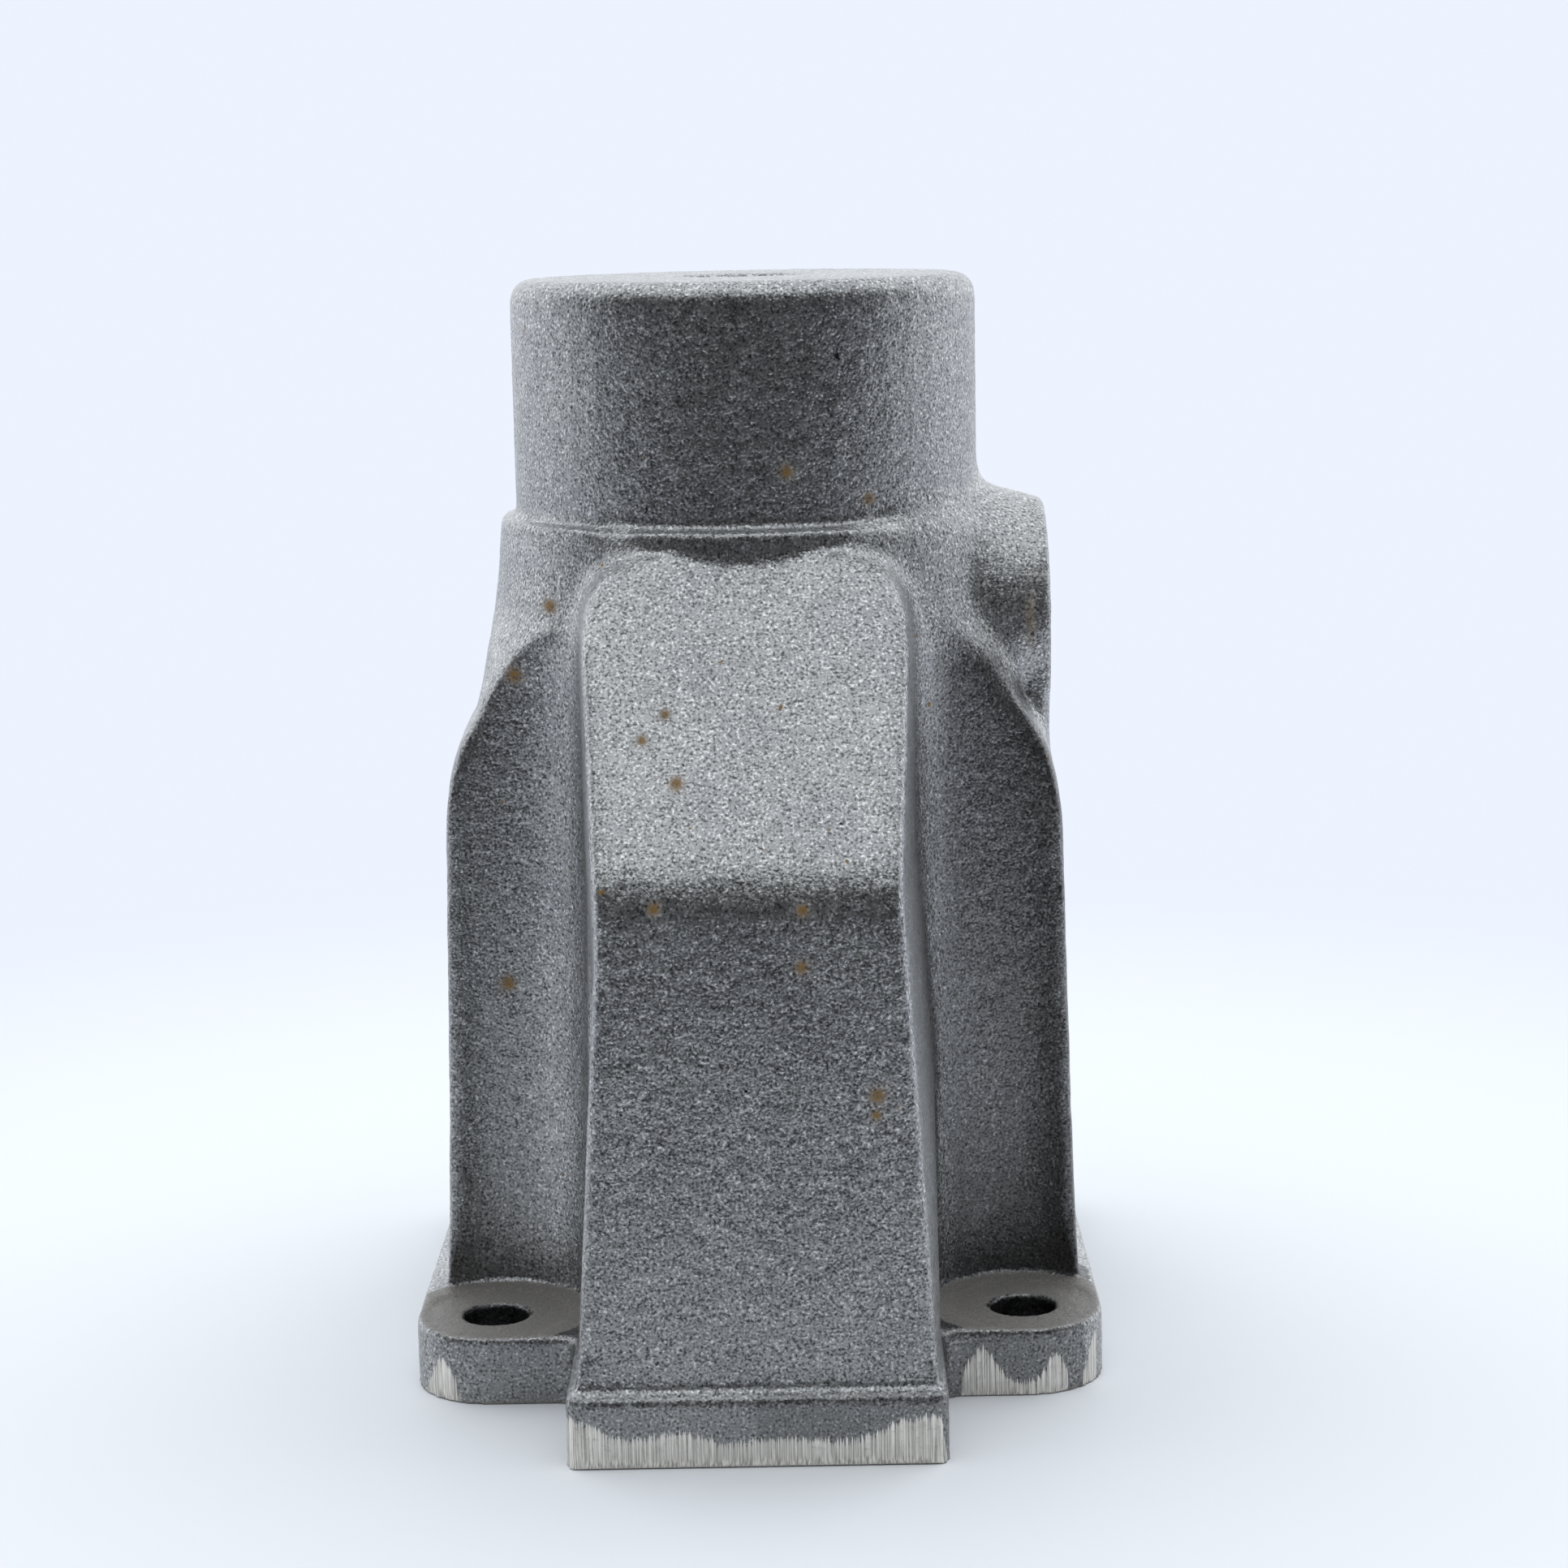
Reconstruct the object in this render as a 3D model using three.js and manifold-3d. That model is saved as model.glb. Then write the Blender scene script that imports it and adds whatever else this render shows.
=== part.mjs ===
// Cylinder head of a small stationary engine: a four-bolt iron casting with its suction inlet valve.
// Millimetres, +Z up. The origin is at the middle of the footprint, on the joint face.
import * as THREE from 'three';
import { mergeVertices } from 'three/addons/utils/BufferGeometryUtils.js';
import Module from 'manifold-3d';

const wasm = await Module();
wasm.setup();

// ---- Driving dimensions ----
const GAP = 0.3;              // clearance left between neighbouring pieces
const HEIGHT = 150.5;         // joint face to the top of the neck
const FLANGE_HALF = 47.5;     // half the width of the square flange
const FLANGE_THICK = 9.6;
const BOLT_OFFSET = 36.5;     // bolts stand on a square, this far from the neck's axis each way
const BOLT_RADIUS = 4.5;
const SPOT_RADIUS = 10.5;
const SPOT_DEPTH = 0.4;
const POCKET_RADIUS = 13;     // wrench pocket above each bolt
const POCKET_FACETS = 40;
const POCKET_BITE = 0.5;      // how far a front pocket runs in under the tongue's flank

const BODY_TOP = 117.2;       // ledge of the collar under the neck
const BODY_FACETS = 60;
// Half widths of the body by height: four lobes with rounded tops, then a flare up to the collar.
const BODY_HEIGHTS = [5, 35, 60, 76, 82, 86, 89, 91, 94, 99, 104.5, 110, BODY_TOP];
const BODY_WIDTHS = [44.6, 43.6, 43, 42.7, 42.1, 41.2, 39.9, 38.7, 38.1, 37.4, 36.5, 35.8, 35.2];
const LOBE_EXTRA = 0.9;       // the +X lobe stands out a little further than the others
const PLAN = { roundAbove: 106, squareBelow: 76, squareness: 8, ease: 1.5 };
const NECK_RADIUS = 33.1;
const NECK_EDGE = 3;
const TOP_HOLE_RADIUS = 8.75;

const TONGUE_FRONT = 72.5;    // front of the tongue's foot, ahead of the neck's axis
const TONGUE_FOOT_HALF = 24.8;
const TONGUE_BASE_HALF = 24;
const TOE_RADIUS = 2;         // front corners of the foot
const WEB_RADIUS = 3;         // hollow corner between the foot and each ear
const TONGUE_TOP_HALF = 19.3;
const TONGUE_STEP = 1.4;      // how far the foot stands proud of the tongue's face
const FLANK_SPREAD = 6.2;     // how much wider the tongue is at the neck's axis than at its face
const KNEE = { y: 66.2, z: 74.5, radius: 15 };
const SLOPE_TOP = { y: 33, z: 116 };
const CREST = { z: 114, radius: 11 };   // where the slope runs out against the collar
const TONGUE_DRAFT = (TONGUE_BASE_HALF - TONGUE_TOP_HALF) / KNEE.z;

const BOSS_RADIUS = 17;       // side boss on +X, a little wider at its root
const BOSS_ROOT = { radius: 22, x: 25 };
const BOSS_FACE = 42.6;
const BOSS_Z = 101;
const BOSS_WEB = { half: 16.6, depth: 20, face: 42.4 };   // rib under the boss
const SIDE_PORT_RADIUS = 9;

const WALL = 5;
const CHAMBER = { radius: 22, bottom: 71, top: 136 };
const RECESS = { radius: 31, depth: 4 };
const RING_NUT = { outer: 25, inner: 19, bottom: 4.5, top: 14, slotWidth: 5, slotDepth: 4 };
const CAGE = { outer: 21, inner: 17.8, top: 63, hubRadius: 9, hubDepth: 16 };
const CAGE_FOOT = { sill: 1, lip: 2, top: 32 };   // ring below the cage's windows, holding the seat
const CAGE_ARM = 4;           // width of the three arms that carry the hub
const GASKET_THICK = 1;
const SEAT = { outer: 17.5, inner: 12.8, height: 5, bevel: 2.6 };
const GUIDE = { outer: 6.2, inner: 4.1, below: 6, above: 5 };
const STEM_RADIUS = 3.8;
const VALVE = { head: 15.4, face: 2, crown: 3.2, rim: 1.5, fillet: 4, tip: 1 };
const SPRING = { radius: 9.4, wire: 1.1, turns: 6, length: 25 };
const CLOSED_END = { turns: 0.75, climb: 0.12 };   // flat coils at each end, and their share of the climb
const WASHER = { outer: 11.4, thick: 1.2 };
const RETAINER = { radius: 12.5, thick: 5, bore: 5.6, rim: 2, land: 3 };
const KEEPER = { outer: 5.2, inner: 4.1, height: 6, lift: 0.5 };
const RISER = { half: 14, depth: 16, throat: 12, sill: 86, lintel: 104 };

const ROUND = 32;             // facets round the larger cylinders
const NECK_ROUND = 48;
const VALVE_ROUND = 40;
const COIL_STEPS = 18;        // sections along one turn of the spring
const CURVE = { plate: 8, side: 10, crest: 6, edge: 5, wire: 8 };   // steps along each rounding
const OVERRUN = 1;            // how far a cutter runs past the face it opens
const WELD = 0.002;           // corners this close are one corner
const SEAM = 1e-4;            // the same, where a primitive's faces meet
const FOOTPRINT_SHIFT = (TONGUE_FRONT - FLANGE_HALF) / 2;

// ---- Solids and booleans ----
function toSolid(geometry) {
  const bare = geometry.clone();
  bare.deleteAttribute('normal');
  bare.deleteAttribute('uv');
  const merged = mergeVertices(bare, SEAM);
  const mesh = new wasm.Mesh({
    numProp: 3,
    vertProperties: Float32Array.from(merged.attributes.position.array),
    triVerts: Uint32Array.from(merged.index.array),
  });
  return new wasm.Manifold(mesh);
}

// Corners closer together than the weld distance become one, which drops the slivers that cuts leave.
function toGeometry(solid) {
  const mesh = solid.getMesh();
  const loose = new THREE.BufferGeometry();
  loose.setAttribute('position', new THREE.BufferAttribute(mesh.vertProperties, 3));
  loose.setIndex(new THREE.BufferAttribute(mesh.triVerts, 1));
  const geometry = mergeVertices(loose, WELD);
  const corners = geometry.index.array;
  const kept = [];
  for (let i = 0; i < corners.length; i += 3) {
    const [a, b, c] = corners.slice(i, i + 3);
    if (a !== b && b !== c && c !== a) {
      kept.push(a, b, c);
    }
  }
  geometry.setIndex(kept);
  geometry.computeVertexNormals();
  return geometry;
}

function join(solids) {
  return solids.reduce((whole, solid) => whole.add(solid));
}

function cut(solid, cutters) {
  return cutters.reduce((rest, cutter) => rest.subtract(cutter), solid);
}

function upright(radius, bottom, top, x = 0, y = 0) {
  const geometry = new THREE.CylinderGeometry(radius, radius, top - bottom, ROUND);
  geometry.rotateX(Math.PI / 2);
  geometry.translate(x, y, (top + bottom) / 2);
  return toSolid(geometry);
}

// A profile of [radius, height] points, in order up the outside and down the inside, turned about Z.
function turned(profile, facets = ROUND) {
  const points = profile.map(([radius, height]) => new THREE.Vector2(radius, height));
  if (profile[0][0] > 0) {
    points.push(points[0].clone());
  }
  const geometry = new THREE.LatheGeometry(points, facets);
  geometry.rotateX(Math.PI / 2);
  return geometry;
}

function tube(outer, inner, bottom, top) {
  return turned([[outer, bottom], [outer, top], [inner, top], [inner, bottom]]);
}

// ---- Outer form of the casting ----
// The plan of the body is a round collar at the top (0) and turns into a rounded square lower down (1).
function squareShare(z) {
  const share = (PLAN.roundAbove - z) / (PLAN.roundAbove - PLAN.squareBelow);
  return Math.min(1, Math.max(0, share)) ** PLAN.ease;
}

function bodyForm() {
  const geometry = new THREE.CylinderGeometry(1, 1, 1, BODY_FACETS, BODY_HEIGHTS.length - 1);
  geometry.rotateX(Math.PI / 2);
  const position = geometry.attributes.position;
  for (let i = 0; i < position.count; i += 1) {
    const x = position.getX(i);
    const y = position.getY(i);
    const ring = Math.round((position.getZ(i) + 0.5) * (BODY_HEIGHTS.length - 1));
    const share = squareShare(BODY_HEIGHTS[ring]);
    const n = 2 + (PLAN.squareness - 2) * share;
    const angle = Math.atan2(y, x);
    const norm = (Math.abs(Math.cos(angle)) ** n + Math.abs(Math.sin(angle)) ** n) ** (1 / n);
    const reach = Math.hypot(x, y) * BODY_WIDTHS[ring] / norm;
    const extra = x > 0 ? 1 + LOBE_EXTRA * share / BODY_WIDTHS[ring] : 1;
    position.setXYZ(i, reach * Math.cos(angle) * extra, reach * Math.sin(angle), BODY_HEIGHTS[ring]);
  }
  return toSolid(geometry);
}

// Half the tongue's width beside the bolts.
function flankHalf(z) {
  const height = Math.min(z, KNEE.z);
  const spread = FLANK_SPREAD * (TONGUE_FRONT - BOLT_OFFSET) / TONGUE_FRONT;
  return TONGUE_BASE_HALF - TONGUE_DRAFT * height + spread * height / KNEE.z;
}

// Above each bolt is a round-backed slot. The front ones run straight out along the tongue's flanks.
function wrenchPocket([x, y]) {
  const heights = [FLANGE_THICK, KNEE.z, BODY_TOP + OVERRUN];
  const geometry = new THREE.CylinderGeometry(1, 1, 2, POCKET_FACETS, 2);
  geometry.rotateX(Math.PI / 2);
  const position = geometry.attributes.position;
  for (let i = 0; i < position.count; i += 1) {
    const z = heights[Math.round(position.getZ(i)) + 1];
    const forward = y * position.getY(i) > 0;
    let across = position.getX(i) * POCKET_RADIUS;
    if (y < 0 && x * position.getX(i) < -WELD) {
      const share = forward ? Math.sign(position.getX(i)) : position.getX(i);
      across = share * (BOLT_OFFSET - flankHalf(z) + POCKET_BITE);
    }
    position.setXYZ(i, x + across, y + position.getY(i) * POCKET_RADIUS, z);
  }
  return toSolid(geometry);
}

function boltPlaces() {
  return [[-1, -1], [1, -1], [-1, 1], [1, 1]].map(([sx, sy]) => [sx * BOLT_OFFSET, sy * BOLT_OFFSET]);
}

// The flange and the tongue's foot are one plate: a square with a round ear at each bolt.
function basePlate() {
  const corner = FLANGE_HALF - BOLT_OFFSET;
  const web = TONGUE_FOOT_HALF + WEB_RADIUS;
  const toe = TONGUE_FOOT_HALF - TOE_RADIUS;
  const quarter = Math.PI / 2;
  const shape = new THREE.Shape();
  shape.moveTo(-toe, -TONGUE_FRONT);
  shape.absarc(toe, -TONGUE_FRONT + TOE_RADIUS, TOE_RADIUS, -quarter, 0);
  shape.absarc(web, -FLANGE_HALF - WEB_RADIUS, WEB_RADIUS, Math.PI, quarter, true);
  shape.absarc(BOLT_OFFSET, -BOLT_OFFSET, corner, -quarter, 0);
  shape.absarc(BOLT_OFFSET, BOLT_OFFSET, corner, 0, quarter);
  shape.absarc(-BOLT_OFFSET, BOLT_OFFSET, corner, quarter, Math.PI);
  shape.absarc(-BOLT_OFFSET, -BOLT_OFFSET, corner, Math.PI, 3 * quarter);
  shape.absarc(-web, -FLANGE_HALF - WEB_RADIUS, WEB_RADIUS, quarter, 0, true);
  shape.absarc(-toe, -TONGUE_FRONT + TOE_RADIUS, TOE_RADIUS, Math.PI, 3 * quarter);
  const settings = { depth: FLANGE_THICK, bevelEnabled: false, curveSegments: CURVE.plate };
  return toSolid(new THREE.ExtrudeGeometry(shape, settings));
}

// A side outline in (forward, up), extruded across the casting's width.
function sideForm(shape, halfWidth) {
  const settings = { depth: 2 * halfWidth, bevelEnabled: false, curveSegments: CURVE.side };
  const geometry = new THREE.ExtrudeGeometry(shape, settings);
  geometry.translate(0, 0, -halfWidth);
  const axes = new THREE.Matrix4().makeBasis(
    new THREE.Vector3(0, -1, 0),
    new THREE.Vector3(0, 0, 1),
    new THREE.Vector3(-1, 0, 0),
  );
  geometry.applyMatrix4(axes);
  return toSolid(geometry);
}

function tongue() {
  const face = TONGUE_FRONT - TONGUE_STEP;
  const side = new THREE.Shape();
  const up = new THREE.Vector2(KNEE.y - face, KNEE.z).normalize();
  const back = new THREE.Vector2(SLOPE_TOP.y - KNEE.y, SLOPE_TOP.z - KNEE.z).normalize();
  const reach = KNEE.radius * Math.tan(Math.acos(up.dot(back)) / 2);
  side.moveTo(0, WALL);
  side.lineTo(face, WALL);
  side.lineTo(KNEE.y - up.x * reach, KNEE.z - up.y * reach);
  side.quadraticCurveTo(KNEE.y, KNEE.z, KNEE.y + back.x * reach, KNEE.z + back.y * reach);
  side.lineTo(SLOPE_TOP.y, SLOPE_TOP.z);
  side.lineTo(0, SLOPE_TOP.z);
  side.closePath();

  const front = new THREE.Shape();
  front.moveTo(-TONGUE_BASE_HALF, 0);
  front.lineTo(TONGUE_BASE_HALF, 0);
  front.lineTo(TONGUE_TOP_HALF, KNEE.z);
  front.lineTo(TONGUE_TOP_HALF, CREST.z - CREST.radius);
  front.quadraticCurveTo(TONGUE_TOP_HALF, CREST.z, TONGUE_TOP_HALF - CREST.radius, CREST.z);
  front.lineTo(-TONGUE_TOP_HALF + CREST.radius, CREST.z);
  front.quadraticCurveTo(-TONGUE_TOP_HALF, CREST.z, -TONGUE_TOP_HALF, CREST.z - CREST.radius);
  front.lineTo(-TONGUE_TOP_HALF, KNEE.z);
  front.closePath();
  const settings = { depth: TONGUE_FRONT + OVERRUN, bevelEnabled: false, curveSegments: CURVE.crest };
  const taper = new THREE.ExtrudeGeometry(front, settings);
  taper.rotateX(Math.PI / 2);
  taper.translate(0, OVERRUN, 0);
  const position = taper.attributes.position;
  for (let i = 0; i < position.count; i += 1) {
    const spread = position.getY(i) > 0 ? Math.min(position.getZ(i), KNEE.z) / KNEE.z : 0;
    position.setX(i, position.getX(i) + Math.sign(position.getX(i)) * FLANK_SPREAD * spread);
  }
  return sideForm(side, TONGUE_BASE_HALF + OVERRUN).intersect(toSolid(taper));
}

function neck() {
  const profile = new THREE.Path();
  profile.moveTo(0, BODY_TOP - WALL);
  profile.lineTo(NECK_RADIUS, BODY_TOP - WALL);
  profile.lineTo(NECK_RADIUS, HEIGHT - NECK_EDGE);
  profile.absarc(NECK_RADIUS - NECK_EDGE, HEIGHT - NECK_EDGE, NECK_EDGE, 0, Math.PI / 2);
  profile.lineTo(0, HEIGHT);
  const geometry = new THREE.LatheGeometry(profile.getPoints(CURVE.edge), NECK_ROUND);
  geometry.rotateX(Math.PI / 2);
  return toSolid(geometry);
}

function lyingCylinder(radius, from, to, z) {
  const geometry = new THREE.CylinderGeometry(radius, radius, to - from, ROUND);
  geometry.rotateZ(Math.PI / 2);
  geometry.translate((from + to) / 2, 0, z);
  return toSolid(geometry);
}

// The boss widens towards the neck and stands on a web that runs down into the lobe below it.
function sideBoss() {
  const length = BOSS_FACE - BOSS_ROOT.x;
  const cone = new THREE.CylinderGeometry(BOSS_ROOT.radius, BOSS_RADIUS, length, ROUND);
  cone.rotateZ(Math.PI / 2);
  cone.translate(BOSS_ROOT.x + length / 2, 0, BOSS_Z);
  const web = new THREE.BoxGeometry(BOSS_WEB.face, 2 * BOSS_WEB.half, BOSS_WEB.depth);
  web.translate(BOSS_WEB.face / 2, 0, BOSS_Z - BOSS_WEB.depth / 2);
  return toSolid(cone).add(toSolid(web));
}

function outerForm() {
  const body = cut(bodyForm(), boltPlaces().map(wrenchPocket));
  return join([body, basePlate(), tongue(), neck(), sideBoss()]);
}

// ---- Hollows of the casting ----
// The riser runs up the tongue from the joint face and bends back into the chamber in the neck.
function riser() {
  const inner = TONGUE_FRONT - TONGUE_STEP - WALL;
  const side = new THREE.Shape();
  side.moveTo(inner - RISER.depth, -OVERRUN);
  side.lineTo(inner, -OVERRUN);
  side.lineTo(KNEE.y - WALL, KNEE.z - WALL / 2);
  side.lineTo(SLOPE_TOP.y + WALL, RISER.lintel);
  side.lineTo(0, RISER.lintel);
  side.lineTo(0, RISER.sill);
  side.lineTo(SLOPE_TOP.y, RISER.sill);
  side.lineTo(KNEE.y - WALL - RISER.throat, KNEE.z - WALL);
  side.closePath();
  return sideForm(side, RISER.half);
}

function headCasting() {
  const bolts = boltPlaces().flatMap(([x, y]) => [
    upright(BOLT_RADIUS, -OVERRUN, FLANGE_THICK + OVERRUN, x, y),
    upright(SPOT_RADIUS, FLANGE_THICK - SPOT_DEPTH, FLANGE_THICK + OVERRUN, x, y),
  ]);
  const bores = [
    upright(TOP_HOLE_RADIUS, CHAMBER.top - OVERRUN, HEIGHT + OVERRUN),
    upright(CHAMBER.radius, CHAMBER.bottom, CHAMBER.top),
    upright(CAGE.inner, CAGE.top, CHAMBER.bottom + OVERRUN),
    upright(CAGE.outer + GAP, RING_NUT.top - OVERRUN, CAGE.top + GASKET_THICK),
    upright(RING_NUT.outer + GAP, RECESS.depth - OVERRUN, RING_NUT.top),
    upright(RECESS.radius, -OVERRUN, RECESS.depth),
    lyingCylinder(SIDE_PORT_RADIUS, 0, BOSS_FACE + OVERRUN, BOSS_Z),
  ];
  return cut(outerForm(), [...bolts, ...bores, riser()]);
}

// ---- Valve set ----
const cageBottom = RING_NUT.top + GAP;
const hubBottom = CAGE.top - CAGE.hubDepth;
const springBottom = CAGE.top + WASHER.thick + GAP;
const retainerBottom = springBottom + SPRING.length + 2 * GAP;
const seatBottom = cageBottom + CAGE_FOOT.sill;
const seatTop = seatBottom + SEAT.height;

function valveCage() {
  const shell = toSolid(tube(CAGE.outer, CAGE.inner, cageBottom, CAGE.top));
  const hub = upright(CAGE.hubRadius, hubBottom, CAGE.top);
  const arms = [0, 1, 2].map((turn) => {
    const arm = new THREE.BoxGeometry(CAGE.inner + OVERRUN, CAGE_ARM, CAGE.hubDepth / 2);
    arm.translate((CAGE.inner + OVERRUN) / 2, 0, CAGE.top - CAGE.hubDepth / 4);
    arm.rotateZ(turn * Math.PI * 2 / 3);
    return toSolid(arm);
  });
  const seatWall = toSolid(tube(CAGE.outer, SEAT.outer + GAP, cageBottom, seatTop + GAP));
  const lowerRing = toSolid(tube(CAGE.outer, SEAT.inner + CAGE_FOOT.lip, seatTop + GAP, CAGE_FOOT.top));
  const guideBore = upright(GUIDE.outer + GAP, hubBottom - OVERRUN, CAGE.top + OVERRUN);
  return cut(join([shell, hub, ...arms, seatWall, lowerRing]), [guideBore]);
}

function cageGasket() {
  return tube(CAGE.outer, CAGE.inner + GAP, CAGE.top + GAP, CAGE.top + GASKET_THICK - GAP);
}

function seatRing() {
  return turned([
    [SEAT.outer, seatBottom],
    [SEAT.outer, seatTop],
    [SEAT.inner, seatTop],
    [SEAT.inner, seatBottom + SEAT.bevel],
    [VALVE.head + 2 * GAP, seatBottom],
  ]);
}

function inletValve() {
  const face = seatBottom + VALVE.face - GAP;
  const crown = face - VALVE.crown;
  const stemTop = retainerBottom + RETAINER.thick + KEEPER.height / 2;
  return turned([
    [0, crown],
    [VALVE.head, crown],
    [VALVE.head, crown + VALVE.rim],
    [SEAT.inner - GAP, face],
    [STEM_RADIUS + VALVE.fillet, seatTop - VALVE.fillet / 2],
    [STEM_RADIUS, seatTop + VALVE.fillet],
    [STEM_RADIUS, stemTop - VALVE.tip],
    [STEM_RADIUS - VALVE.tip, stemTop],
    [0, stemTop],
  ], VALVE_ROUND);
}

class Helix extends THREE.Curve {
  getPoint(t, target = new THREE.Vector3()) {
    const rest = CLOSED_END.turns / SPRING.turns;
    const climb = Math.min(1, Math.max(0, (t - rest) / (1 - 2 * rest)));
    const angle = t * SPRING.turns * Math.PI * 2;
    const share = CLOSED_END.climb * t + (1 - CLOSED_END.climb) * climb;
    const rise = (SPRING.length - 2 * SPRING.wire) * share;
    return target.set(SPRING.radius * Math.cos(angle), SPRING.radius * Math.sin(angle), rise);
  }
}

function valveSpring() {
  const section = new THREE.Shape();
  section.absarc(0, 0, SPRING.wire, 0, Math.PI * 2);
  const geometry = new THREE.ExtrudeGeometry(section, {
    steps: SPRING.turns * COIL_STEPS,
    curveSegments: CURVE.wire,
    bevelEnabled: false,
    extrudePath: new Helix(),
  });
  geometry.translate(0, 0, springBottom + SPRING.wire);
  return toGeometry(toSolid(geometry));
}

function springWasher() {
  return tube(WASHER.outer, GUIDE.outer + GAP, CAGE.top, CAGE.top + WASHER.thick);
}

function springRetainer() {
  const top = retainerBottom + RETAINER.thick;
  return turned([
    [RETAINER.radius, retainerBottom],
    [RETAINER.radius, retainerBottom + RETAINER.rim],
    [RETAINER.bore + RETAINER.land, top],
    [RETAINER.bore, top],
    [RETAINER.bore, retainerBottom],
  ]);
}

function keeper(side) {
  const bottom = retainerBottom + KEEPER.lift;
  const ring = toSolid(tube(KEEPER.outer, KEEPER.inner, bottom, bottom + KEEPER.height));
  const reach = 2 * (KEEPER.outer + KEEPER.height);
  const half = new THREE.BoxGeometry(reach, reach, reach);
  half.translate(0, side * (reach / 2 + GAP), bottom);
  return toGeometry(ring.intersect(toSolid(half)));
}

function ringNut() {
  const ring = toSolid(tube(RING_NUT.outer, RING_NUT.inner, RING_NUT.bottom, RING_NUT.top));
  const slots = [0, 1].map((turn) => {
    const across = 2 * (RING_NUT.outer + OVERRUN);
    const slot = new THREE.BoxGeometry(across, RING_NUT.slotWidth, 2 * RING_NUT.slotDepth);
    slot.rotateZ(turn * Math.PI / 2);
    slot.translate(0, 0, RING_NUT.bottom);
    return toSolid(slot);
  });
  return toGeometry(cut(ring, slots));
}

// ---- Materials and assembly ----
const castIron = new THREE.MeshStandardMaterial({ color: 0x7f8284, roughness: 0.75, metalness: 0.4 });
const steel = new THREE.MeshStandardMaterial({ color: 0x9a9da0, roughness: 0.35, metalness: 0.9 });
const springSteel = new THREE.MeshStandardMaterial({ color: 0x4c4f55, roughness: 0.4, metalness: 0.8 });
const bronze = new THREE.MeshStandardMaterial({ color: 0xa9793f, roughness: 0.4, metalness: 0.85 });
const copper = new THREE.MeshStandardMaterial({ color: 0xb56b45, roughness: 0.45, metalness: 0.85 });

const group = new THREE.Group();
const assembly = new THREE.Group();
assembly.position.set(0, FOOTPRINT_SHIFT, 0);
group.add(assembly);

function addPart(name, geometry, material) {
  const mesh = new THREE.Mesh(geometry, material);
  mesh.name = name;
  assembly.add(mesh);
}

addPart('head_casting', toGeometry(headCasting()), castIron);
addPart('valve_cage', toGeometry(valveCage()), castIron);
addPart('cage_gasket', cageGasket(), copper);
addPart('cage_ring_nut', ringNut(), steel);
addPart('seat_ring', seatRing(), steel);
addPart('valve_guide', tube(GUIDE.outer, GUIDE.inner, hubBottom - GUIDE.below, CAGE.top + GUIDE.above), bronze);
addPart('inlet_valve', inletValve(), steel);
addPart('spring_washer', springWasher(), steel);
addPart('valve_spring', valveSpring(), springSteel);
addPart('spring_retainer', springRetainer(), steel);
addPart('keeper_left', keeper(-1), steel);
addPart('keeper_right', keeper(1), steel);

export default group;
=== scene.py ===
"""A bare cast-iron cylinder head on a pale table in a light tent. Metres, +Z up, in the CAD frame."""

import math

import bpy
import numpy as np
from mathutils import Euler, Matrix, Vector


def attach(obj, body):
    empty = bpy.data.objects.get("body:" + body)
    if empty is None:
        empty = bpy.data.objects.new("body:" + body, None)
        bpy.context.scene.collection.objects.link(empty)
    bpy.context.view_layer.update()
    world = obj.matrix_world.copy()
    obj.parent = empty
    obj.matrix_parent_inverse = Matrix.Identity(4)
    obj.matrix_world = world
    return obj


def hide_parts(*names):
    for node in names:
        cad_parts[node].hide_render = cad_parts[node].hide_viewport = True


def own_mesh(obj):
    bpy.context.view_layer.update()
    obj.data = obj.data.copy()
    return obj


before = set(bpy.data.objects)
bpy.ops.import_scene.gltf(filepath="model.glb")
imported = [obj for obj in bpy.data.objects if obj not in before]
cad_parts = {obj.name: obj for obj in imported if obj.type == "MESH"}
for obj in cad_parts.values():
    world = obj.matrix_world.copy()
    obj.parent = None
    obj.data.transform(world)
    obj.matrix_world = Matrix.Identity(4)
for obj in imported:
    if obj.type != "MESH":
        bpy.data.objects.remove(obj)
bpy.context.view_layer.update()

MM = 0.001
NECK = Vector((0.0, 12.5 * MM, 0.0))        # the neck's axis on the joint face
FLANGE = 9.6 * MM
BOLT_OFFSET = 36.5 * MM
BOLT_RADIUS = 4.5 * MM
BOSS_HEIGHT = 101.0                         # millimetres, as are the heights and widths in the masks
EAR_REACH = 13.5

BACKDROP = (0.845, 0.895, 1.0, 1.0)
PAPER = (0.96, 0.975, 1.0, 1.0)
TENT_BRIGHT = (1.32, 1.38, 1.46, 1.0)
TENT_ROOF = (1.26, 1.32, 1.38, 1.0)
TENT_GAP = (0.05, 0.052, 0.056, 1.0)        # the unlit side, behind the camera

IRON_COOL = (0.32, 0.32, 0.325, 1.0)
IRON_WARM = (0.39, 0.39, 0.385, 1.0)
IRON_PIT = (0.11, 0.11, 0.11, 1.0)
# Painted glints: a bright colour on single grains stands in for their highlights.
PAINTED_GLINT = (0.74, 0.74, 0.72, 1.0)
OPEN_GRAIN = (0.03, 0.03, 0.03, 1.0)
# Painted shade for the front pockets and the bolt holes, and a darker tone round the foot and low on the
# tongue's face.
SHADE_COLOUR = (0.035, 0.034, 0.033, 1.0)
BELT_DARK = (0.36, 0.345, 0.315, 1.0)
BELT_LIGHT = (0.92, 0.885, 0.82, 1.0)
SEAT_DARK = (0.22, 0.205, 0.19, 1.0)
SEAT_LIGHT = (0.34, 0.32, 0.30, 1.0)
RUST = (0.27, 0.15, 0.03, 1.0)

VOXEL = 0.42 * MM
SMOOTH_STEPS = 26
BLEND_STEPS = 260
WEIGHT_STEPS = 8
SWELLS = (3.2 * MM, 0.12 * MM)              # size and depth of the swells in the sand mould
GRAINS = (1.0 * MM, 0.07 * MM)

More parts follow.
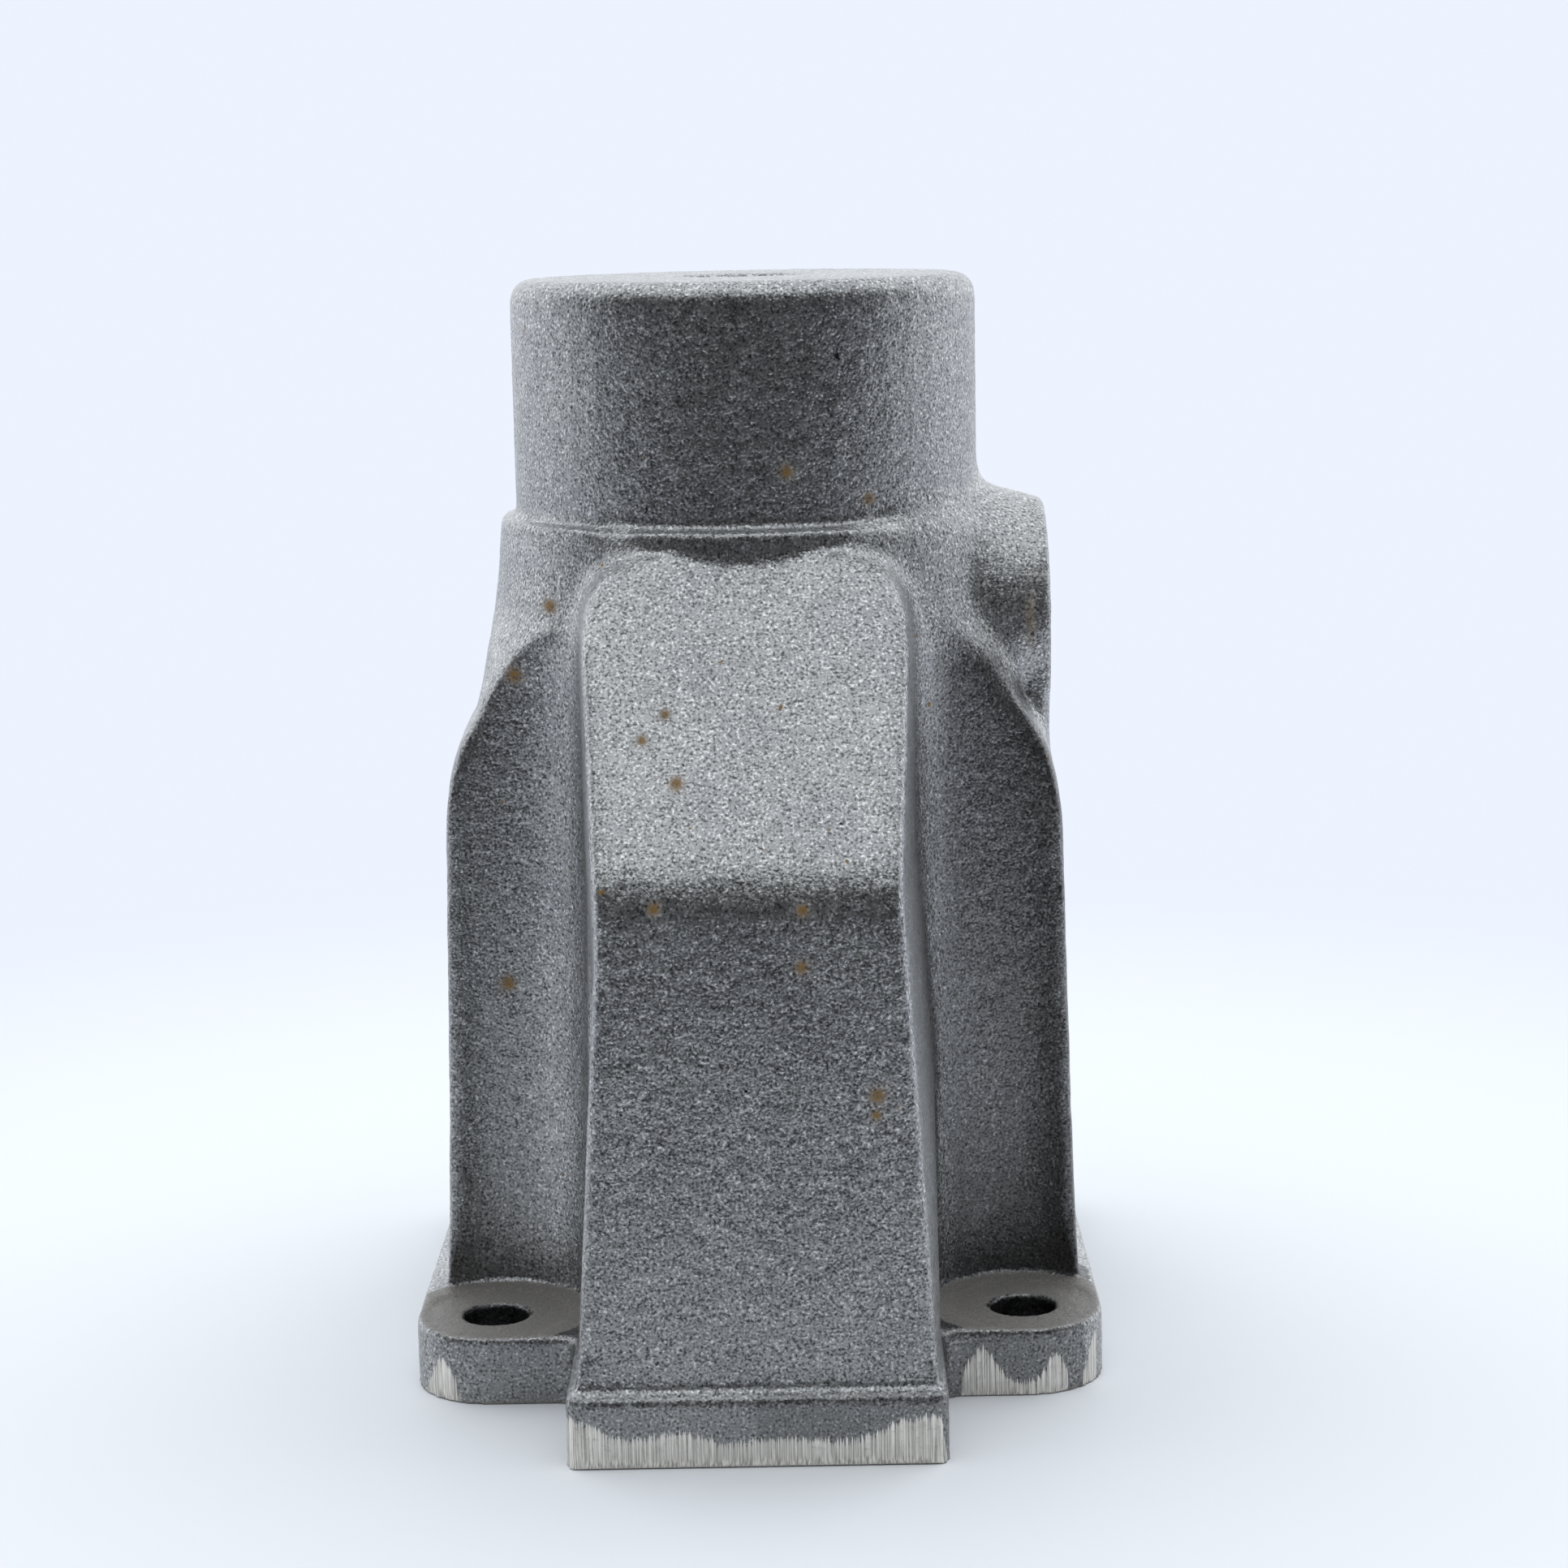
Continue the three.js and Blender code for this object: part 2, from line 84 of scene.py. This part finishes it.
# Rust on the front of the casting: across and up from the neck's foot, and radius, in millimetres.
RUST_SPECKS = [
    (5.9, 125.0, 0.9), (17.0, 120.8, 0.7), (-32.2, 97.0, 1.0), (-27.0, 106.5, 0.8), (-9.0, 86.9, 0.7),
    (-10.5, 95.0, 0.5), (-13.5, 92.0, 0.5), (-11.9, 72.5, 0.8), (7.0, 72.0, 0.8), (6.8, 64.7, 0.8),
    (-34.5, 53.3, 0.9), (16.2, 48.0, 0.9), (16.0, 45.5, 0.6),
]


# ---- Camera, lights and floor ----
def add_camera():
    data = bpy.data.cameras.new("camera")
    data.lens = 78.3
    data.sensor_width = 36.0
    data.clip_start = 0.01
    data.clip_end = 20.0
    camera = bpy.data.objects.new("camera", data)
    bpy.context.scene.collection.objects.link(camera)
    turn = math.radians(0.335)
    offset = Vector((4.6 * MM, -490.7 * MM, 162.4 * MM))
    offset.rotate(Euler((0.0, 0.0, turn)))
    camera.location = NECK + offset
    aim = Euler((math.radians(90.0 - 9.894), 0.0, turn)).to_matrix()
    roll = Euler((0.0, 0.0, math.radians(-1.113))).to_matrix()
    camera.rotation_euler = (aim @ roll).to_euler()
    bpy.context.scene.camera = camera
    return camera


def blend_colour(tree, factor, low, high):
    """Blends two colours by a socket. Each colour is a socket or plain numbers."""
    mix = tree.nodes.new("ShaderNodeMix")
    mix.data_type = "RGBA"
    tree.links.new(factor, mix.inputs["Factor"])
    for name, value in (("A", low), ("B", high)):
        if isinstance(value, bpy.types.NodeSocket):
            tree.links.new(value, mix.inputs[name])
        else:
            mix.inputs[name].default_value = value
    return mix.outputs["Result"]


def map_range(tree, value, low, high, to_low=0.0, to_high=1.0, smooth=False):
    node = tree.nodes.new("ShaderNodeMapRange")
    if smooth:
        node.interpolation_type = "SMOOTHSTEP"
    node.inputs["From Min"].default_value = low
    node.inputs["From Max"].default_value = high
    node.inputs["To Min"].default_value = to_low
    node.inputs["To Max"].default_value = to_high
    tree.links.new(value, node.inputs["Value"])
    return node.outputs["Result"]


def combine(tree, operation, first, second):
    node = tree.nodes.new("ShaderNodeMath")
    node.operation = operation
    tree.links.new(first, node.inputs[0])
    tree.links.new(second, node.inputs[1])
    return node.outputs["Value"]


def times(tree, first, second):
    return combine(tree, "MULTIPLY", first, second)


def split_coordinates(tree, output):
    place = tree.nodes.new("ShaderNodeTexCoord")
    split = tree.nodes.new("ShaderNodeSeparateXYZ")
    tree.links.new(place.outputs[output], split.inputs["Vector"])
    return split.outputs


def add_tent():
    """A light tent: bright sides and roof, and an unlit gap on the camera's side."""
    world = bpy.data.worlds.new("tent")
    bpy.context.scene.world = world
    world.use_nodes = True
    tree = world.node_tree
    away = split_coordinates(tree, "Generated")
    roof = map_range(tree, away["Z"], 0.3, 0.75, smooth=True)
    lit = blend_colour(tree, roof, TENT_BRIGHT, TENT_ROOF)
    front = map_range(tree, away["Y"], 0.45, -0.42, smooth=True)
    low = map_range(tree, away["Z"], 0.86, 0.5, smooth=True)
    tent = blend_colour(tree, times(tree, front, low), lit, TENT_GAP)
    ray = tree.nodes.new("ShaderNodeLightPath")
    seen = blend_colour(tree, ray.outputs["Is Camera Ray"], tent, BACKDROP)
    tree.links.new(seen, tree.nodes["Background"].inputs["Color"])


def add_floor():
    """A sheet of white paper that fades into the backdrop away from the casting."""
    mesh = bpy.data.meshes.new("table_top")
    reach = 6.0
    corners = [(-reach, -reach, 0), (reach, -reach, 0), (reach, reach, 0), (-reach, reach, 0)]
    mesh.from_pydata(corners, [], [(0, 1, 2, 3)])
    floor = bpy.data.objects.new("table_top", mesh)
    bpy.context.scene.collection.objects.link(floor)
    floor.location.z = -0.05 * MM
    material = bpy.data.materials.new("paper")
    material.use_nodes = True
    tree = material.node_tree
    shader = tree.nodes["Principled BSDF"]
    shader.inputs["Base Color"].default_value = PAPER
    shader.inputs["Roughness"].default_value = 0.7
    shader.inputs["Specular IOR Level"].default_value = 0.2
    place = tree.nodes.new("ShaderNodeTexCoord")
    distance = tree.nodes.new("ShaderNodeVectorMath")
    distance.operation = "LENGTH"
    tree.links.new(place.outputs["Object"], distance.inputs[0])
    fade = map_range(tree, distance.outputs["Value"], 0.10, 0.34, smooth=True)
    ray = tree.nodes.new("ShaderNodeLightPath")
    bounced = map_range(tree, ray.outputs["Is Camera Ray"], 1.0, 0.0)
    front = map_range(tree, split_coordinates(tree, "Object")["Y"], -0.2, -0.4, smooth=True)
    unlit = times(tree, bounced, front)
    glow = tree.nodes.new("ShaderNodeEmission")
    tree.links.new(blend_colour(tree, unlit, BACKDROP, TENT_GAP), glow.inputs["Color"])
    mix = tree.nodes.new("ShaderNodeMixShader")
    tree.links.new(fade, mix.inputs["Fac"])
    tree.links.new(shader.outputs["BSDF"], mix.inputs[1])
    tree.links.new(glow.outputs["Emission"], mix.inputs[2])
    tree.links.new(mix.outputs["Shader"], tree.nodes["Material Output"].inputs["Surface"])
    mesh.materials.append(material)


# ---- Materials ----
def new_material(name, colour, metallic, roughness):
    material = bpy.data.materials.new(name)
    material.use_nodes = True
    shader = material.node_tree.nodes["Principled BSDF"]
    shader.inputs["Base Color"].default_value = colour
    shader.inputs["Metallic"].default_value = metallic
    shader.inputs["Roughness"].default_value = roughness
    return material, material.node_tree, shader


def add_noise(tree, scale, detail=2.0, stretch=(1.0, 1.0, 1.0)):
    place = tree.nodes.new("ShaderNodeTexCoord")
    mapping = tree.nodes.new("ShaderNodeMapping")
    mapping.inputs["Scale"].default_value = stretch
    noise = tree.nodes.new("ShaderNodeTexNoise")
    noise.inputs["Scale"].default_value = scale
    noise.inputs["Detail"].default_value = detail
    tree.links.new(place.outputs["Object"], mapping.inputs["Vector"])
    tree.links.new(mapping.outputs["Vector"], noise.inputs["Vector"])
    return noise.outputs


def add_bump(tree, height, distance, strength, below=None):
    bump = tree.nodes.new("ShaderNodeBump")
    bump.inputs["Strength"].default_value = strength
    bump.inputs["Distance"].default_value = distance
    tree.links.new(height, bump.inputs["Height"])
    if below is not None:
        tree.links.new(below, bump.inputs["Normal"])
    return bump.outputs["Normal"]


def add_facets(tree, scale, tilt, normal, calm):
    """Tilts the normal grain by grain, so that single grains catch the light."""
    grain = add_noise(tree, scale, 1.0)["Color"]
    centred = tree.nodes.new("ShaderNodeVectorMath")
    centred.operation = "SUBTRACT"
    centred.inputs[1].default_value = (0.5, 0.5, 0.5)
    scaled = tree.nodes.new("ShaderNodeVectorMath")
    scaled.operation = "SCALE"
    added = tree.nodes.new("ShaderNodeVectorMath")
    added.operation = "ADD"
    unit = tree.nodes.new("ShaderNodeVectorMath")
    unit.operation = "NORMALIZE"
    tree.links.new(grain, centred.inputs[0])
    tree.links.new(centred.outputs["Vector"], scaled.inputs[0])
    tree.links.new(map_range(tree, calm, 0.0, 1.0, tilt, 0.0), scaled.inputs["Scale"])
    tree.links.new(scaled.outputs["Vector"], added.inputs[0])
    tree.links.new(normal, added.inputs[1])
    tree.links.new(added.outputs["Vector"], unit.inputs[0])
    return unit.outputs["Vector"]


def attribute(tree, name):
    node = tree.nodes.new("ShaderNodeAttribute")
    node.attribute_name = name
    return node.outputs


def cast_skin(tree, sand, cloud):
    """Bare cast skin: cloudy grey with pits, painted glints on single bright grains, and painted shade in
    the hollows.
    """
    skin = blend_colour(tree, map_range(tree, cloud, 0.3, 0.7), IRON_COOL, IRON_WARM)
    pits = blend_colour(tree, map_range(tree, sand, 0.34, 0.46), IRON_PIT, skin)
    # Painted glints on single bright grains.
    painted_glints = blend_colour(tree, map_range(tree, sand, 0.57, 0.68), pits, PAINTED_GLINT)
    holes = add_noise(tree, 800.0, 2.0)["Fac"]
    open_grain = blend_colour(tree, map_range(tree, holes, 0.22, 0.26), OPEN_GRAIN, painted_glints)
    # Painted shade: the hollows and the bolt holes are darkened in the colour, patchy with the cloud noise.
    painted_shade = attribute(tree, "painted_shade")["Fac"]
    patchy = times(tree, painted_shade, map_range(tree, cloud, 0.3, 0.55, 0.8, 1.0))
    return blend_colour(tree, map_range(tree, patchy, 0.0, 1.0, 0.0, 0.9), open_grain, SHADE_COLOUR)


def ragged_edge(tree, depth, streaks):
    """The belt's patch ends in a ragged edge that follows its streaks."""
    ragged = tree.nodes.new("ShaderNodeMath")
    ragged.operation = "MULTIPLY_ADD"
    ragged.inputs[1].default_value = 0.55
    tree.links.new(streaks, ragged.inputs[0])
    tree.links.new(depth, ragged.inputs[2])
    return map_range(tree, ragged.outputs["Value"], 0.74, 0.80, smooth=True)


def cast_iron():
    """Sand-cast grey iron with belt-ground edges, milled seats under the nuts, and specks of rust."""
    material, tree, shader = new_material("cast_iron", (0.4, 0.4, 0.4, 1.0), 1.0, 0.4)
    masks = tree.nodes.new("ShaderNodeSeparateColor")
    tree.links.new(attribute(tree, "wear")["Color"], masks.inputs["Color"])
    milled = masks.outputs["Green"]
    lumps = add_noise(tree, 700.0, 3.0)["Fac"]
    sand = add_noise(tree, 2600.0, 2.0)["Fac"]
    cloud = add_noise(tree, 70.0, 3.0)["Fac"]
    streaks = add_noise(tree, 5000.0, 3.0, (1.0, 1.0, 0.015))["Fac"]

    ground = ragged_edge(tree, masks.outputs["Red"], streaks)
    belt = blend_colour(tree, map_range(tree, streaks, 0.35, 0.65), BELT_DARK, BELT_LIGHT)
    seat = blend_colour(tree, map_range(tree, sand, 0.3, 0.7), SEAT_DARK, SEAT_LIGHT)
    colour = blend_colour(tree, ground, cast_skin(tree, sand, cloud), belt)
    colour = blend_colour(tree, milled, colour, seat)
    freckle = map_range(tree, add_noise(tree, 330.0, 3.0)["Fac"], 0.735, 0.77, smooth=True)
    rusty = combine(tree, "MAXIMUM", freckle, masks.outputs["Blue"])
    broken = times(tree, rusty, map_range(tree, sand, 0.3, 0.5))
    tree.links.new(blend_colour(tree, broken, colour, RUST), shader.inputs["Base Color"])

    dull = combine(tree, "MAXIMUM", broken, map_range(tree, milled, 0.0, 1.0, 0.0, 0.7))
    tree.links.new(map_range(tree, dull, 0.0, 1.0, 1.0, 0.1), shader.inputs["Metallic"])
    rough = map_range(tree, lumps, 0.3, 0.7, 0.30, 0.44)
    matte = map_range(tree, dull, 0.0, 0.7, 0.0, 0.22)
    tree.links.new(combine(tree, "ADD", rough, matte), shader.inputs["Roughness"])

    calm = combine(tree, "MAXIMUM", ground, map_range(tree, milled, 0.0, 1.0, 0.0, 0.45))
    normal = add_bump(tree, lumps, 0.18 * MM, 0.8)
    normal = add_bump(tree, sand, 0.10 * MM, 0.7, normal)
    tree.links.new(add_facets(tree, 3000.0, 0.55, normal, calm), shader.inputs["Normal"])
    return material


def turned_metal(name, colour, roughness, grain=2600.0):
    """Machined metal with fine turning marks round the valve's axis and a thin smoky film."""
    material, tree, shader = new_material(name, colour, 1.0, roughness)
    rings = add_noise(tree, grain, 2.0, (0.04, 0.04, 1.0))["Fac"]
    film = add_noise(tree, 160.0, 4.0)["Fac"]
    dark = tuple(0.55 * part for part in colour[:3]) + (1.0,)
    smoky = blend_colour(tree, map_range(tree, film, 0.35, 0.7), colour, dark)
    worn = map_range(tree, rings, 0.3, 0.7, roughness - 0.08, roughness + 0.12)
    tree.links.new(smoky, shader.inputs["Base Color"])
    tree.links.new(worn, shader.inputs["Roughness"])
    tree.links.new(add_bump(tree, rings, 0.02 * MM, 0.5), shader.inputs["Normal"])
    return material


# ---- Casting ----
def copy_of(node, name):
    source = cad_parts[node]
    piece = bpy.data.objects.new(name, source.data.copy())
    bpy.context.scene.collection.objects.link(piece)
    piece.data.materials.clear()
    return piece


def bake_modifiers(piece):
    graph = bpy.context.evaluated_depsgraph_get()
    mesh = bpy.data.meshes.new_from_object(piece.evaluated_get(graph))
    piece.modifiers.clear()
    piece.data = mesh


def positions(mesh):
    points = np.empty(len(mesh.vertices) * 3)
    mesh.vertices.foreach_get("co", points)
    return points.reshape(-1, 3)


def add_group(piece, name, weights):
    group = piece.vertex_groups.new(name=name)
    levels = np.round(np.clip(weights, 0.0, 1.0) * WEIGHT_STEPS).astype(int)
    for level in range(1, WEIGHT_STEPS + 1):
        group.add(np.nonzero(levels == level)[0].tolist(), level / WEIGHT_STEPS, "REPLACE")


def bolt_centres():
    return [(sx * BOLT_OFFSET, NECK.y + sy * BOLT_OFFSET) for sx in (-1, 1) for sy in (-1, 1)]


def smooth_group(piece, name, steps, weights):
    add_group(piece, name, weights)
    smooth = piece.modifiers.new(name, "SMOOTH")
    smooth.factor = 0.5
    smooth.iterations = steps
    smooth.vertex_group = name


def roughen(piece, name, size, depth):
    """Small swells in the surface of the sand mould."""
    pattern = bpy.data.textures.new(name, "CLOUDS")
    pattern.noise_scale = size
    pattern.noise_depth = 2
    swell = piece.modifiers.new(name, "DISPLACE")
    swell.texture = pattern
    swell.strength = depth
    swell.mid_level = 0.5
    swell.vertex_group = "cast"


def soft_step(values, low, high):
    t = np.clip((values - low) / (high - low), 0.0, 1.0)
    return t * t * (3.0 - 2.0 * t)


def between(values, low, rise, fall, high):
    """1 from rise to fall, running down to 0 at low and at high."""
    return soft_step(values, low, rise) * (1.0 - soft_step(values, fall, high))


def bump_at(values, centre, width):
    return np.exp(-((values - centre) / width) ** 2)


def from_neck(points):
    """Millimetres across, back and up from the neck's foot."""
    return points[:, 0] / MM, (points[:, 1] - NECK.y) / MM, points[:, 2] / MM


def blend_weights(points):
    """Where the side boss, the tongue's crest, the lobes and the tongue's flanks flow into the body."""
    x, y, z = from_neck(points)
    boss = between(x, 17.0, 24.0, 36.0, 39.0) * between(z, 88.0, 94.0, 123.0, 127.0)
    boss *= (np.abs(y) < 30.0) & (np.hypot(y, z - BOSS_HEIGHT) > 12.0)
    crest = between(y, -44.0, -40.0, -29.0, -26.0) * between(z, 90.0, 98.0, 114.5, 116.0)
    crest *= between(np.abs(x), 12.0, 15.0, 25.0, 29.0)
    lobes = soft_step(np.hypot(x, y), 41.0, 44.0) * between(z, 12.0, 16.0, 88.0, 94.0)
    lobes *= (y > -34.0) * 0.5
    flanks = 0.25 * (1.0 - soft_step(y, -30.0, -27.0)) * soft_step(z, 11.0, 14.0)
    flanks *= between(np.abs(x), 14.0, 16.0, 29.0, 32.0)
    return np.maximum.reduce([boss, crest, lobes, flanks])


def ground_mask(x, y, z, normals):
    """How far each point is below the top of the patches that a belt grinder left, 0.5 at their edge."""
    outward = (np.abs(normals[:, 2]) < 0.75) & (z < 10.0)
    toe = outward & (y < -70.0)
    toe_top = 3.5 + 0.7 * soft_step(-x, 4.0, 9.0) + 2.2 * soft_step(-x, 17.0, 24.5)
    toe_top += 3.2 * soft_step(x, 13.0, 22.0) - 8.0 * soft_step(x, 23.4, 25.0) + 0.3 * np.sin(x / 2.1)
    ear = outward & (y < -41.5) & (y > -50.0)
    right_top = 1.7 + 5.0 * bump_at(x, 30.2, 2.5) + 3.8 * bump_at(x, 40.3, 1.6)
    right_top += 5.0 * soft_step(x, 44.2, 46.0)
    right_top -= 8.0 * (x < 27.2) + 6.0 * (x > 42.0) * (x < 44.2)
    left_top = 5.7 - 2.4 * np.maximum(0.0, -43.8 - x)
    left_top -= np.maximum(0.0, x + 43.8) + 3.0 * np.maximum(0.0, x + 41.6)
    top = np.where(toe, toe_top, np.where(x > 0.0, right_top, left_top))
    return np.where(toe | ear, np.clip(0.5 + (top - z) / 8.0, 0.0, 1.0), 0.0)


def bolt_masks(points, normals, z):
    """The milled tops of the ears, and the walls of the bolt holes in them."""
    seat = np.zeros(len(points))
    hole = np.zeros(len(points))
    ear_top = (z > 8.9) & (z < 10.1) & (normals[:, 2] > 0.8)
    for bolt_x, bolt_y in bolt_centres():
        away = np.hypot(points[:, 0] - bolt_x, points[:, 1] - bolt_y) / MM
        seat = np.maximum(seat, (away < EAR_REACH) * ear_top)
        hole = np.maximum(hole, (away < BOLT_RADIUS / MM + 0.35) * (z < 9.3) * (z > 0.2))
    return seat, hole


def rust_mask(x, z, normals):
    front = normals[:, 1] < 0.1
    rust = np.zeros(len(x))
    for speck_x, speck_z, radius in RUST_SPECKS:
        rust = np.maximum(rust, front * bump_at(np.hypot(x - speck_x, z - speck_z), 0.0, radius))
    stain = 0.55 * bump_at(x, 39.6, 0.8) * bump_at(z, 103.0, 3.5) * front
    return np.clip(np.maximum(rust * 1.3, stain), 0.0, 1.0)


def painted_shade_mask(x, y, z):
    """Painted shade in the front pockets, more of it in the right one and darker towards its bottom; darker
    round the foot, more on the right, and a little darker low on the tongue's face.
    """
    pocket = (y < -21.0) * (z > 9.5)
    right = pocket * soft_step(x, 23.0, 29.0) * (1.0 - soft_step(z, 97.0, 101.0))
    left = pocket * soft_step(-x, 27.0, 34.0) * (1.0 - soft_step(z, 94.0, 98.0))
    pockets = right * (0.62 + 0.22 * (1.0 - soft_step(z, 15.0, 45.0))) + 0.25 * left
    foot = (y < -44.0) * (z < 9.6) * np.where(x > 0.0, 0.5, 0.3)
    face = 0.1 * (y < -60.0) * (1.0 - soft_step(z, 25.0, 60.0))
    return np.maximum.reduce([pockets, foot, face])


def wear_masks(piece):
    """Red: belt-ground patches. Green: milled faces. Blue: rust. And painted shade in the pockets, which
    also darkens the holes.
    """
    points = positions(piece.data)
    normals = np.empty(len(points) * 3)
    piece.data.vertex_normals.foreach_get("vector", normals)
    normals = normals.reshape(-1, 3)
    x, y, z = from_neck(points)
    ground = ground_mask(x, y, z, normals)
    seat, hole = bolt_masks(points, normals, z)
    milled = np.maximum(z < 0.5, seat) * (1.0 - (ground > 0.3)) * (1.0 - hole)
    milled = np.maximum(milled, (np.hypot(x, y) < 30.0) * (z < 64.0))
    # The walls of the bolt holes get painted shade.
    painted_shade = np.maximum(painted_shade_mask(x, y, z) * (1.0 - milled), 0.85 * hole)

    painted_shade_layer = piece.data.attributes.new("painted_shade", "FLOAT", "POINT")
    painted_shade_layer.data.foreach_set("value", painted_shade.astype(np.float32))
    colours = np.stack([ground, milled, rust_mask(x, z, normals), np.ones(len(points))], axis=1)
    layer = piece.data.attributes.new("wear", "FLOAT_COLOR", "POINT")
    layer.data.foreach_set("color", colours.astype(np.float32).ravel())


def cast_head():
    casting = copy_of("head_casting", "casting")
    remesh = casting.modifiers.new("voxels", "REMESH")
    remesh.mode = "VOXEL"
    remesh.voxel_size = VOXEL
    bake_modifiers(casting)
    points = positions(casting.data)
    machined = points[:, 2] < 0.6 * MM
    for x, y in bolt_centres():
        near = np.hypot(points[:, 0] - x, points[:, 1] - y) < BOLT_RADIUS + 1.2 * MM
        machined |= near & (points[:, 2] < FLANGE + MM)
    smooth_group(casting, "blend", BLEND_STEPS, blend_weights(points))
    smooth_group(casting, "cast", SMOOTH_STEPS, 1.0 - machined)
    roughen(casting, "swells", *SWELLS)
    roughen(casting, "grains", *GRAINS)
    bake_modifiers(casting)
    casting.data.shade_smooth()
    wear_masks(casting)
    casting.data.materials.append(cast_iron())
    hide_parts("head_casting")
    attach(casting, "head")
    return casting


# ---- Valve set ----
def fine_copy(node, body, material, edge):
    """A copy of a CAD piece with its edges broken."""
    piece = copy_of(node, node + "_finished")
    bevel = piece.modifiers.new("edges", "BEVEL")
    bevel.width = edge
    bevel.segments = 2
    bevel.limit_method = "ANGLE"
    bevel.angle_limit = math.radians(28.0)
    bake_modifiers(piece)
    piece.data.shade_smooth()
    piece.data.set_sharp_from_angle(angle=math.radians(50.0))
    piece.data.materials.append(material)
    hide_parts(node)
    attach(piece, body)
    return piece


def valve_set():
    steel = turned_metal("valve_steel", (0.42, 0.41, 0.40, 1.0), 0.34)
    ring_steel = turned_metal("blued_steel", (0.20, 0.205, 0.22, 1.0), 0.40)
    iron = turned_metal("turned_iron", (0.34, 0.34, 0.335, 1.0), 0.48)
    bronze = turned_metal("bronze", (0.52, 0.33, 0.14, 1.0), 0.36)
    copper = turned_metal("copper", (0.60, 0.27, 0.15, 1.0), 0.42)
    fine_copy("valve_cage", "head", iron, 0.3 * MM)
    fine_copy("cage_gasket", "head", copper, 0.08 * MM)
    fine_copy("cage_ring_nut", "head", ring_steel, 0.35 * MM)
    fine_copy("seat_ring", "head", steel, 0.15 * MM)
    fine_copy("valve_guide", "head", bronze, 0.25 * MM)
    fine_copy("spring_washer", "head", ring_steel, 0.15 * MM)
    fine_copy("inlet_valve", "valve", steel, 0.2 * MM)
    fine_copy("spring_retainer", "valve", ring_steel, 0.25 * MM)
    fine_copy("keeper_left", "valve", steel, 0.1 * MM)
    fine_copy("keeper_right", "valve", steel, 0.1 * MM)


def valve_spring():
    """The spring's coil, smooth-shaded, on a mesh of its own."""
    spring = copy_of("valve_spring", "valve_spring_coil")
    spring.data.shade_smooth()
    spring.data.materials.append(turned_metal("spring_steel", (0.16, 0.16, 0.175, 1.0), 0.38, 900.0))
    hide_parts("valve_spring")
    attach(spring, "head")
    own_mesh(spring)
    return spring


bpy.context.scene.view_settings.view_transform = "Standard"
add_camera()
add_tent()
add_floor()
cast_head()
valve_set()
valve_spring()
